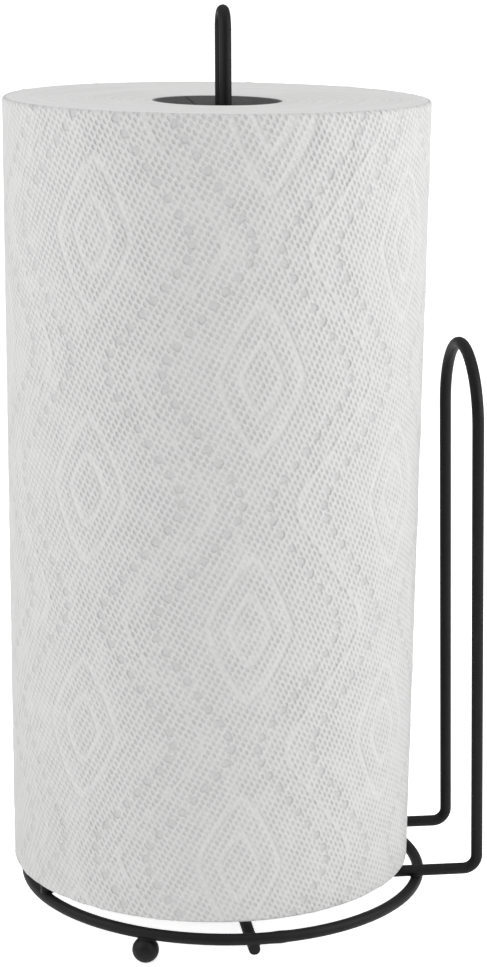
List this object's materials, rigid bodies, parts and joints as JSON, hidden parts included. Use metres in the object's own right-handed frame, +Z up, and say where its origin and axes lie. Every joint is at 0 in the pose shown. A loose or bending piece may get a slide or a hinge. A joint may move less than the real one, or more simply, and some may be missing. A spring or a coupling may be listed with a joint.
{
  "type": "paper towel holder",
  "caption": "Free-standing wire paper towel holder: ring base on ball feet, hairpin post with a lift-off kitchen roll, and an inverted-U tear-off arm.",
  "frame": {"origin": "middle of the whole object's footprint, on the surface it stands on", "axes": "+Z up along the post, +X towards the tear-off arm, Y along the post's feet"},
  "size_m": [0.174, 0.1528, 0.3266],
  "materials": {
    "powder_coated_wire": "satin",
    "core_board": "matte",
    "towel_paper": "matte"
  },
  "bodies": {
    "wire_holder": {"base_ring": "powder_coated_wire", "centre_post": "powder_coated_wire", "tear_off_arm": "powder_coated_wire", "ball_foot_1": "powder_coated_wire", "ball_foot_2": "powder_coated_wire", "ball_foot_3": "powder_coated_wire"},
    "roll_core": {"core_tube": "core_board"},
    "roll_paper": {"towel_roll": "towel_paper"}
  },
  "joints": [
    {"name": "roll_lift", "type": "slide", "parent": "wire_holder", "child": "roll_core", "axis": [0, 0, 1], "range_m": [0, 0.33]},
    {"name": "roll_spin", "type": "hinge", "parent": "roll_core", "child": "roll_paper", "pos_m": [-0.0124, 0.0007, 0.15], "axis": [0, 0, 1], "continuous": true}
  ]
}
